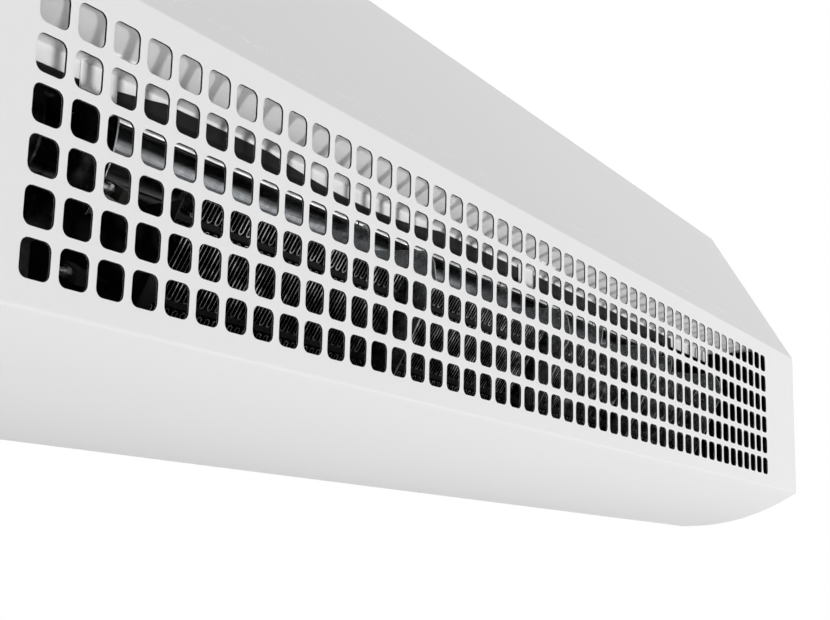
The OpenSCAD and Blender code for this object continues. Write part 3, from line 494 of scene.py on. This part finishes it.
def foam():
    """Open black foam, lining the right end panel's inner face: painted shade, a dark sheet where that
    compartment lies in shade.
    """
    cell = Finish("black_foam", (0.004, 0.004, 0.004), 0.95, specular_ior_level=0.1)
    cell.bump(cell.cells(900.0, output="Distance"), 0.4)
    return cell.material


def circuit_board():
    """Green solder mask with copper tracks showing through."""
    board = Finish("circuit_board", (0.01, 0.09, 0.03), 0.35)
    tracks = board.spread(board.cells(300.0, "DISTANCE_TO_EDGE", "Distance"), 0.0, 1.0, (0.05, 0.08))
    board.feed("Base Color", board.blend(tracks, (0.03, 0.16, 0.06), (0.01, 0.08, 0.03)))
    return board.material


FINISHES = {
    "white_paint": powder_coat(),
    "galvanised_steel": zinc("galvanised_sheet", (0.42, 0.43, 0.44)),
    "black_metal": black_enamel(),
    "black_strip": rubber(),
    "black_foam": foam(),
    "wheel_steel": rolled("wheel_steel", (0.2, 0.2, 0.21), 0.42),
    "bright_steel": rolled("bright_steel", (0.58, 0.58, 0.59), 0.28, (1.0, 0.04, 1.0)),
    "heater_fin": fin_strip(),
    # The heater bars are given a plain near-black colour.
    "heater_bar": rolled("heater_bar_near_black", (0.006, 0.006, 0.006), 0.45, metallic=0.0,
                         specular_ior_level=0.2),
    "cap_plastic": moulded("cap_plastic", (0.02, 0.018, 0.016), 0.5),
    "anodised_aluminium": rolled("anodised_aluminium", (0.74, 0.74, 0.75), 0.32),
    "terminal_plastic": moulded("terminal_plastic", (0.7, 0.68, 0.6), 0.5),
    "black_plastic": moulded("black_plastic", (0.016, 0.016, 0.016), 0.45),
    "circuit_board": circuit_board(),
    "capacitor_can": rolled("capacitor_can", (0.6, 0.6, 0.58), 0.35, (1.0, 1.0, 0.04)),
    "red_plastic": moulded("red_plastic", (0.5, 0.02, 0.015), 0.3),
    "cable_jacket": moulded("cable_jacket", (0.02, 0.02, 0.02), 0.55),
    "clip_plastic": moulded("clip_plastic", (0.7, 0.7, 0.68), 0.45),
}

for part in frame["record"]["subparts"]:
    node = frame["nodes"][part["node"]]
    node.data.materials.clear()
    node.data.materials.append(FINISHES[part["material_slot"]])


# ---- casing ----

def cover_line():
    """Section of the front cover in two parts: from the seam down the slope's flange and the front to
    the belly's start, and on round the belly, along its level tail and up the flange behind it. The
    belly is a circle's arc that starts at the front's foot and ends level; its radius is its reach
    squared plus its drop squared, over twice its drop."""
    start = -90 - np.degrees(np.arcsin(BELLY_REACH / BELLY_R))
    belly = arc([BELLY_REACH, BELLY_R], BELLY_R, start, -90, 30)
    seam = np.array([0, FRONT_TOP]) + SEAM_UP * SLOPE
    tail = bent([belly[-2], belly[-1], [COVER_END, 0], [COVER_END, COVER_FOOT]], FOLD_R)[1:]
    upper = bent(np.concatenate([[seam, [0, FRONT_TOP]], belly[:2]]), FOLD_R)
    return upper, np.concatenate([belly[2:-1], tail])


def front_cover():
    """The perforated front: a grid of squares along x and along the section line, sides of them to a
    hole's pitch, in which the squares over each hole are a ring from their outline to the hole's."""
    sides = 6
    margin = 60.0
    spacing = 10.0
    upper, belly = cover_line()
    rows = ROW_LOW + HOLE_PITCH * (np.arange(HOLE_ROWS * sides + 1) / sides - 0.5)
    above = evenly(upper[:np.argmax(upper[:, 1] < rows[-1])], spacing)
    below = evenly(upper[upper[:, 1] < rows[0]], spacing)
    front = np.stack([np.zeros_like(rows), rows], -1)[::-1]
    line = np.concatenate([above, front, below, belly])
    half = HOLE_COLS * HOLE_PITCH / 2
    columns = np.linspace(-half, half, HOLE_COLS * sides + 1)
    x = np.concatenate([[SKIN_X[0], SKIN_X[0] + margin], columns, [SKIN_X[1] - margin, SKIN_X[1]]])
    inner = line + normals_of(line) * SHEET_T
    first_row, first_column = len(above), 2
    grids = []
    for face, rear in ((line, False), (inner, True)):
        points, quads = lattice(in_row(x[None, :], face[:, :1], face[:, 1:]))
        row, column = np.divmod(np.arange(len(quads)), len(x) - 1)
        holed = ((row >= first_row) & (row < first_row + HOLE_ROWS * sides)
                 & (column >= first_column) & (column < first_column + HOLE_COLS * sides))
        grids.append((points, quads[~holed][:, ::-1] if rear else quads[~holed]))
    edges = [np.stack([line[i], inner[i]]) for i in (0, -1)]
    seam_edge, foot_edge = (lattice(in_row(x[None, :], edge[:, :1], edge[:, 1:])) for edge in edges)
    patches = grids + [turned_over(seam_edge), foot_edge, end_face(x[0], line, inner),
                       turned_over(end_face(x[-1], line, inner)), hole_rings(sides)]
    piece("front_cover_skin", patches, FINISHES["white_paint"],
          replaces=["front_cover"], crease=50.0)


def hole_rings(sides):
    """The rings of sheet round the holes, with a small round on the front edge: the ring's points run
    round the hole's square and round its outline together, from corner to corner."""
    edge_round = 0.35
    turn = toward(np.arange(4) * 90.0)

    def all_round(x, h):
        """The points of the square's right side, from its lower end up, carried round its four sides:
        x cos t - h sin t and x sin t + h cos t at each quarter turn t."""
        c, k = turn[:, :1], turn[:, 1:]
        return np.stack([x * c - h * k, x * k + h * c], -1).reshape(-1, 2)[::-1]

    def outline(grow):
        """The hole's rounded edge, moved outwards by grow: half a corner, the flat side with its
        middle, and the first of the next corner."""
        flat = HOLE_W / 2 - HOLE_CORNER
        rim = toward([-45.0, -22.5, 0.0, 0.0, 0.0, 22.5], HOLE_CORNER + grow)
        return all_round(flat + rim[:, 0], flat * np.array([-1, -1, -1, 0, 1, 1]) + rim[:, 1])

    square = all_round(np.full(sides, HOLE_PITCH / 2), HOLE_PITCH * (np.arange(sides) / sides - 0.5))
    a = np.radians([0, 45, 90])
    grow = [*(edge_round * (1 - np.sin(a))), 0.0]
    rings = np.stack([square, *(outline(g) for g in grow), square])
    depths = np.array([0.0, *(edge_round * (1 - np.cos(a))), SHEET_T, SHEET_T])
    columns = HOLE_PITCH * (np.arange(HOLE_COLS) - (HOLE_COLS - 1) / 2)
    rows = ROW_LOW + HOLE_PITCH * np.arange(HOLE_ROWS)
    x = columns[:, None, None, None] + rings[..., 0]
    h = rows[None, :, None, None] + rings[..., 1]
    return lattice(in_row(x, depths[:, None], h), around=True)


front_cover()


# ---- sheet metal and the strip inside ----

def intake_shelf():
    """The shelf over the grille, folded up behind the slope and down at its rear edge. Its height is
    where the line behind the slope, at the lap's distance from it, meets the shelf's front fold."""
    height = FRONT_TOP + (SHELF_D[0] - LAP / SLOPE[1]) * SLOPE[1] / SLOPE[0]
    front = np.array([SHELF_D[0], height])
    line = bent([front + SHELF_RISE * SLOPE, front, [SHELF_D[1], height],
                 [SHELF_D[1], height - SHELF_FLANGE]], SHELF_FOLD_R)
    piece("intake_shelf_sheet", folded_sheet(line, SHEET_T, np.linspace(*SHELF_X, 7)),
          shelf_paint(), replaces=["intake_shelf"], edge=0.2)
    return height


def seal_strip(shelf_h):
    """The flexible strip from the shelf's flange to the rolled edges of the scrolls. Its upper part
    hangs straight from a top edge that follows circles which dip by s in half a width w:
    h = top - s + r - sqrt(r^2 - x^2), r = (w^2 + s^2) / 2s. Its lower part is kinked forwards to the
    rolled edges. Its front waves by a sine of x that fades to nothing at both edges."""
    steps = 7
    wave_depth, wave_length, drift_length = 0.25, 17.0, 61.0
    x = np.linspace(*STRIP_X, 305)
    straight = shelf_h - STRIP_DROP
    top = np.full_like(x, straight)
    for middle, half, dip in SAGS:
        r = (half ** 2 + dip ** 2) / (2 * dip)
        off = np.clip(np.abs(x - middle), 0, half)
        top = np.minimum(top, straight - dip + r - np.sqrt(r * r - off * off))
    d = SHELF_D[1] - STRIP_T - SEAT_GAP
    kink = shelf_h - SHELF_FLANGE - 1
    foot = BEAD + toward(150.0, BEAD_R + SEAT_GAP + STRIP_T)
    lower = bent([[d, kink + 3], [d, kink], foot], 1.0, 5)[1:]
    upper_h = top + (lower[0, 1] - top) * np.linspace(0, 1, steps)[:, None]
    lower_h = np.broadcast_to(lower[1:, 1:], (len(lower) - 1, len(x)))
    h = np.concatenate([upper_h, lower_h])
    line = np.concatenate([np.full((steps, 1), d), lower[1:, :1]])
    fade = np.sin(np.pi * np.linspace(0, 1, len(h)))[:, None]
    wave = wave_depth * fade * (1 + np.sin(x / wave_length + 2.0 * np.sin(x / drift_length)))
    upright = np.stack([np.full(steps, d), np.linspace(kink + SHELF_FLANGE, lower[0, 1], steps)], -1)
    side = normals_of(np.concatenate([upright, lower[1:]]))
    outer = np.stack([line - wave, h], -1)
    inner = np.stack([line + side[:, :1] * STRIP_T - wave, h + side[:, 1:] * STRIP_T], -1)
    loop = np.concatenate([outer, inner[::-1]]).swapaxes(0, 1)
    patches = [turned_over(lattice(in_row(x[:, None], loop[..., 0], loop[..., 1]), around=True)),
               end_face(x[0], outer[:, 0], inner[:, 0]),
               turned_over(end_face(x[-1], outer[:, -1], inner[:, -1]))]
    piece("seal_strip_skin", patches, FINISHES["black_strip"], replaces=["seal_strip"])


def scroll_line():
    """Section of a scroll: its rolled bead; the lip below it, a straight line pushed back by a
    parabola, 4 t (1 - t) of its hollow; the spiral over the wheel, whose radius grows evenly with the
    angle; and the straight run down to the outlet frame."""
    bead = arc(BEAD, BEAD_R, -377, -77, 26)
    t = np.linspace(0, 1, 9)[1:, None]
    hollow = 4 * LIP_HOLLOW * t * (1 - t)
    lip = bead[-1] + t * (LIP_FOOT - bead[-1]) + hollow * [1.0, 0.0]
    angle = np.linspace(*SCROLL_TURN, 91)
    share = (SCROLL_TURN[0] - angle) / (SCROLL_TURN[0] - SCROLL_TURN[1])
    radius = WHEEL_R + SCROLL_GAP + SCROLL_GROWTH * share
    spiral = AXLE + toward(angle, radius)
    turns = bent([lip[-2], LIP_FOOT, spiral[0], spiral[2]], LIP_FOLD_R, 6)[1:-1]
    seat = [FRAME_D[1] - FRAME_T + SCROLL_T / 2, FRAME_TOP + SEAT_GAP]
    run = bent([spiral[-2], spiral[-1], seat], RUN_BEND_R, 6)[1:]
    return np.concatenate([bead, lip[:-1], turns, spiral[2:-2], evenly(run, 12.0)])


def tongue_line():
    """Section of a tongue: up from the outlet frame, round its nose under the wheel and forwards."""
    nose = AXLE + toward(TONGUE_ANGLE, WHEEL_R + SCROLL_GAP)
    seat = [FRAME_D[0] + FRAME_T / 2, FRAME_TOP + SEAT_GAP]
    return bent([seat, nose, nose + TONGUE_TAIL], TONGUE_FOLD_R, 12)


def fan_bays():
    """Each bay's scroll and the tongue under its wheel, between two plates."""
    # The scrolls' zinc is a darker copy of the galvanised sheet: painted shade for the dim inside of the
    # bays.
    sheets = (("scroll", scroll_line(), zinc("scroll_zinc_shaded", (0.26, 0.27, 0.28), rubbed=True)),
              ("tongue", tongue_line(), FINISHES["galvanised_steel"]))
    inset = PLATE_T / 2 + SEAT_GAP
    for bay in range(BAYS):
        x = np.linspace(PLATE_X[bay] + inset, PLATE_X[bay + 1] - inset, 5)
        for name, line, finish in sheets:
            piece(f"{name}_{bay + 1}_sheet", folded_sheet(line, SCROLL_T, x), finish,
                  replaces=[f"{name}_{bay + 1}"])


# ---- heater ----

def on_stack(across, up):
    """Section coordinates of points given across and up the leaning stack."""
    return (STACK[0] + across * np.cos(LEAN) - up * np.sin(LEAN),
            STACK[1] + across * np.sin(LEAN) + up * np.cos(LEAN))


def heater_bars():
    """Two flat bars: a quarter circle at each corner of their section."""
    r = 0.9
    angle = np.linspace(0, 90, 5) + 90 * np.arange(4)[:, None]
    corners = np.array([[1, 1], [-1, 1], [-1, -1], [1, -1]]) * [BAR_W / 2 - r, BAR_T / 2 - r]
    loop = (corners[:, None] + toward(angle, r)).reshape(-1, 2)
    stations = np.linspace(PLATE_X[0] - BAR_END, PLATE_X[-1] + BAR_END, 9)
    patches = []
    for foot in (-BAR_T, FINS["fins_middle"][1]):
        d, h = on_stack(FIN_W / 2 + loop[:, 0], foot + BAR_T / 2 + loop[:, 1])
        patches += rod(np.stack([d, h], -1), stations)
    piece("heater_bars_skin", patches, FINISHES["heater_bar"], replaces=["heater_bars"])


def fins(name):
    """One level of folded fins, a strip in each bay: straight legs joined by half circles of radius
    pitch / 4, in turn at the foot and at the top."""
    foot, height = FINS[name]
    r = FIN_PITCH / 4
    room = FIN_SEAT + FIN_T / 2 + r
    low, high = foot + room, foot + height - room
    patches = []
    for bay in range(BAYS):
        lead = FIN_LEAD if bay == 0 else 0.0
        length = PLATE_X[bay + 1] - PLATE_X[bay]
        count = int((length - lead - PLATE_T - 2 * FIN_MARGIN) // FIN_PITCH)
        turn = np.arange(2 * count)[:, None]
        first = PLATE_X[bay] + (length + lead - (count - 1) * FIN_PITCH) / 2 - r
        middle = np.stack(np.broadcast_arrays(first + 2 * r * turn, np.where(turn % 2, high, low)), -1)
        angle = 180 * (1 - np.where(turn % 2, 1, -1) * np.linspace(0, 1, 9))
        line = (middle + toward(angle, r)).reshape(-1, 2)
        off = normals_of(line) * FIN_T / 2
        x = np.stack([line[:, 0] - off[:, 0]] * 2 + [line[:, 0] + off[:, 0]] * 2, -1)
        y = np.stack([line[:, 1] - off[:, 1]] * 2 + [line[:, 1] + off[:, 1]] * 2, -1)
        points = in_row(x, *on_stack(np.array([0.0, FIN_W, FIN_W, 0.0]), y))
        start, stop = (lattice(points[i][[0, 1, 3, 2]].reshape(2, 2, 3)) for i in (0, -1))
        patches += [turned_over(lattice(points, around=True)), start, turned_over(stop)]
    piece(name + "_folded", patches, FINISHES["heater_fin"], replaces=[name], crease=50.0)


# ---- wheels ----

def blades(x0, x1):
    """The blades of one wheel: a line swept by the sweep times s^2 from its inner to its outer edge, s
    from 0 to 1, with half the thickness to each side of it. Both edges are rounded by two more points
    a little inside them, at 0.7 of the half thickness."""
    shoulder = 0.7
    s = np.linspace(0, 1, 11)
    line = toward(BLADE_SWEEP * s * s, WHEEL_R * (BLADE_INNER + (1 - BLADE_INNER) * s) - BLADE_T / 2)
    across = normals_of(line) * BLADE_T / 2
    inner, outer = line[0] + [0.25, 0.0], line[-1] - (line[-1] - line[-2]) * 0.15
    tip = [outer - across[-1] * shoulder, line[-1], outer + across[-1] * shoulder]
    root = [inner + across[0] * shoulder, line[0], inner - across[0] * shoulder]
    loop = np.concatenate([(line - across)[1:-1], tip, (line + across)[-2:0:-1], root])
    patches = []
    for turn in 2 * np.pi * np.arange(BLADES) / BLADES:
        c, k = np.cos(turn), np.sin(turn)
        patches += rod(AXLE + loop @ np.array([[c, k], [-k, c]]), np.linspace(x0, x1, 3))
    return patches


def turned(profile, steps=96):
    """A closed profile of [x, r] points turned round the axle: d and h are the axle's plus r times the
    cosine and the sine of the turn."""
    a = np.linspace(0, 2 * np.pi, steps, endpoint=False)
    rows = np.concatenate([profile, profile[:1]])
    x, r = rows[:, :1], rows[:, 1:]
    return lattice(in_row(x, AXLE[0] + r * np.cos(a), AXLE[1] + r * np.sin(a)), around=True)


def wheels():
    """Each wheel: its blades, an end disc with a hub at both ends and a ring half way. The blades'
    ends stand in the discs."""
    run_fit = 0.06
    ease = 0.4
    sunk = 0.5
    bore = SHAFT_R + run_fit
    end = np.array([[0, bore], [0, WHEEL_R], [DISC_T, WHEEL_R], [DISC_T, HUB_R + 2],
                    [DISC_T + 0.7, HUB_R + 0.3], [HUB_LEN - ease, HUB_R], [HUB_LEN, HUB_R - ease],
                    [HUB_LEN, bore]])
    mirror = np.array([-1, 1])
    ring = np.array([[-1, RING_R], [-1, WHEEL_R], [1, WHEEL_R], [1, RING_R]]) * [DISC_T / 2, 1]
    for bay in range(BAYS):
        x0 = PLATE_X[bay] + PLATE_T / 2 + WHEEL_END_GAP
        x1 = PLATE_X[bay + 1] - PLATE_T / 2 - WHEEL_END_GAP
        patches = blades(x0 + sunk, x1 - sunk)
        patches += [turned(end + [x0, 0]), turned_over(turned(end * mirror + [x1, 0])),
                    turned(ring + [(x0 + x1) / 2, 0])]
        piece(f"wheel_{bay + 1}_turned", patches, FINISHES["wheel_steel"],
              body="rotor_left" if bay < 2 else "rotor_right", replaces=[f"wheel_{bay + 1}"])


seal_strip(intake_shelf())
fan_bays()
heater_bars()
for level in FINS:
    fins(level)
wheels()


# ---- edges of the carried nodes ----

def ease_edges(node, width):
    """Joins a CAD node's loose triangles and rounds its sharp edges over a width in millimetres."""
    made = frame["nodes"][node]
    weld = made.modifiers.new("joined", "WELD")
    weld.merge_threshold = 0.002 * MM
    bevel = made.modifiers.new("edges", "BEVEL")
    bevel.width, bevel.segments = width * MM, 2
    bevel.limit_method, bevel.angle_limit = "ANGLE", np.radians(50)


for panel in ("hood_panel", "end_panel_left", "end_panel_right", "back_panel", "heater_bracket",
              "shelf_brackets"):
    ease_edges(panel, 0.3)
for vane in ("vane_front", "vane_rear"):
    ease_edges(vane, 0.2)
for plate in range(1, len(PLATE_X) + 1):
    ease_edges(f"fan_plate_{plate}", 0.25)


# ---- studio ----

def camera():
    """The photograph's camera, as solved from the grid of holes: its place in metres, its axes and its
    lens."""
    place = (-1.01555, -0.7415, -0.31225)
    right = (0.50871, -0.86058, 0.02493)
    up = (-0.17949, -0.07769, 0.98069)
    forward = (0.84202, 0.50336, 0.19399)
    data = bpy.data.cameras.new("photo_camera")
    data.sensor_width, data.lens = 36.0, 57.99
    data.clip_start, data.clip_end = 0.05, 50.0
    made = bpy.data.objects.new("photo_camera", data)
    axes = np.eye(4)
    axes[:3, 0], axes[:3, 1], axes[:3, 2], axes[:3, 3] = right, up, -np.array(forward), place
    made.matrix_world = Matrix(axes)
    bpy.context.scene.collection.objects.link(made)
    bpy.context.scene.camera = made


def lamp(name, place, aim, size, power, kind="AREA", spread=180.0):
    """A lamp at a place, aimed at a point, in metres and watts: a soft panel of two sizes that spreads
    its light over as many degrees, or a sun whose disc is size degrees wide and whose power is in
    watts on a square metre."""
    data = bpy.data.lights.new(name, kind)
    data.energy = power
    if kind == "SUN":
        data.angle = np.radians(size)
    else:
        data.shape = "RECTANGLE"
        data.size, data.size_y = size
        data.spread = np.radians(spread)
    made = bpy.data.objects.new(name, data)
    made.visible_camera = False
    away = np.array(place) - np.array(aim)
    z = away / np.linalg.norm(away)
    x = np.cross((0, 0, 1), z)
    x = x / np.linalg.norm(x)
    axes = np.eye(4)
    axes[:3, 0], axes[:3, 1], axes[:3, 2], axes[:3, 3] = x, np.cross(z, x), z, place
    made.matrix_world = Matrix(axes)
    bpy.context.scene.collection.objects.link(made)


def seen_directly(tree):
    """One for a ray from the camera, or by way of a mirror or glass, and zero for the light that falls
    on things: the greatest of the three ray kinds."""
    path = tree.nodes.new("ShaderNodeLightPath")
    seen = path.outputs["Is Camera Ray"]
    for ray in ("Is Glossy Ray", "Is Transmission Ray"):
        either = tree.nodes.new("ShaderNodeMath")
        either.operation = "MAXIMUM"
        tree.links.new(seen, either.inputs[0])
        tree.links.new(path.outputs[ray], either.inputs[1])
        seen = either.outputs[0]
    return seen


def world(level):
    """A white surround that lights things at a level and is seen as plain white."""
    made = bpy.data.worlds.new("studio")
    made.use_nodes = True
    tree = made.node_tree
    light = tree.nodes["Background"]
    light.inputs["Color"].default_value = (1, 1, 1, 1)
    strength = tree.nodes.new("ShaderNodeMapRange")
    strength.inputs["To Min"].default_value = level
    tree.links.new(seen_directly(tree), strength.inputs["Value"])
    tree.links.new(strength.outputs["Result"], light.inputs["Strength"])
    bpy.context.scene.world = made


def floor(half, height):
    """A plain floor under the hanging unit, a square of a half width at a height in metres. A glow
    that only direct rays see makes it pale, so that little of its light comes back up."""
    corners = [(x * half, y * half, height) for x, y in ((-1, -1), (1, -1), (1, 1), (-1, 1))]
    mesh = bpy.data.meshes.new("floor")
    mesh.from_pydata(corners, [], [(0, 1, 2, 3)])
    made = bpy.data.objects.new("floor", mesh)
    pale = Finish("pale_floor", (0.35, 0.35, 0.35), 0.8)
    pale.set("Emission Color", (1, 1, 1, 1))
    pale.feed("Emission Strength", pale.spread(seen_directly(pale.tree), 0.0, 0.6))
    mesh.materials.append(pale.material)
    bpy.context.scene.collection.objects.link(made)
    made.visible_shadow = False


camera()
world(0.25)
# The key stands low and to the left, as in the photograph. The next three even out the slope, the
# right half and the belly. One small lamp behind the grille lights the shelf from below. The last two
# light the back and the right end for views from there.
lamp("key", (-1.79, -2.13, -1.13), (0.0, 0.0, 0.0), 2.0, 2.62, "SUN")
lamp("overhead", (0.6, -1.5, 3.3), (0.1, -0.2, 0.1), (1.2, 1.2), 25.0)
lamp("right", (1.7, -1.9, -0.3), (0.4, -0.2, 0.0), (1.0, 1.0), 4.0)
lamp("from_the_floor", (0.0, -0.5, -2.1), (0.1, -0.1, -0.2), (1.6, 1.6), 4.5)
lamp("onto_the_shelf", (0.03, FRONT_Y + 0.03, UNDER_Z + 0.15), (0.03, FRONT_Y + 0.035, UNDER_Z + 0.217),
     (1.2, 0.04), 0.075, spread=80.0)
lamp("behind", (0.8, 2.4, 2.4), (0.0, 0.0, 0.0), 20.0, 2.2, "SUN")
lamp("right_end", (3.0, 0.9, 0.3), (0.0, 0.0, 0.0), 20.0, 1.7, "SUN")
floor(14.0, -4.6)

bpy.context.scene.view_settings.view_transform = "Standard"
